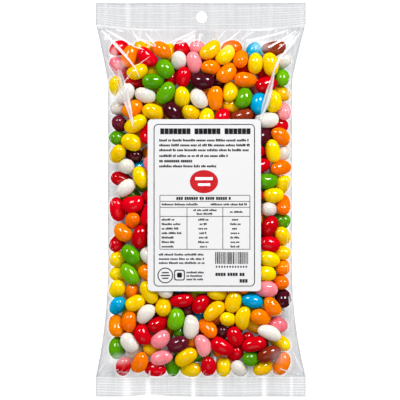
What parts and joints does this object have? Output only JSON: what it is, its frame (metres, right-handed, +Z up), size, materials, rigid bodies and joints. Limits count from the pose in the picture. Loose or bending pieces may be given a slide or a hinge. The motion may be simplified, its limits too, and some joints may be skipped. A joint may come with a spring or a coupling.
{
  "type": "sealed clear bag of jelly beans",
  "caption": "Clear sealed pillow bag of assorted jelly beans with a paper label, a crimped seal at each end and a hang hole, lying on its back.",
  "frame": {"origin": "middle of the flat underside that the bag lies on, at the centre of its outline", "axes": "+X across the bag to the right as the label is read, +Y along it to the seal with the hang hole, +Z up from the back to the label"},
  "size_m": [0.1204, 0.2262, 0.0188],
  "materials": {
    "bean_shell": "polished sugar shells of eight colours: yellow, orange, red, green, white, pink, dark purple and blue",
    "clear_film": "thin clear glossy film with creases and crimped seals",
    "label_paper": "smooth white coated paper",
    "label_ink": "thin printed ink"
  },
  "bodies": {
    "root": {"bag": "bean_shell", "label": "label_paper"}
  },
  "joints": []
}
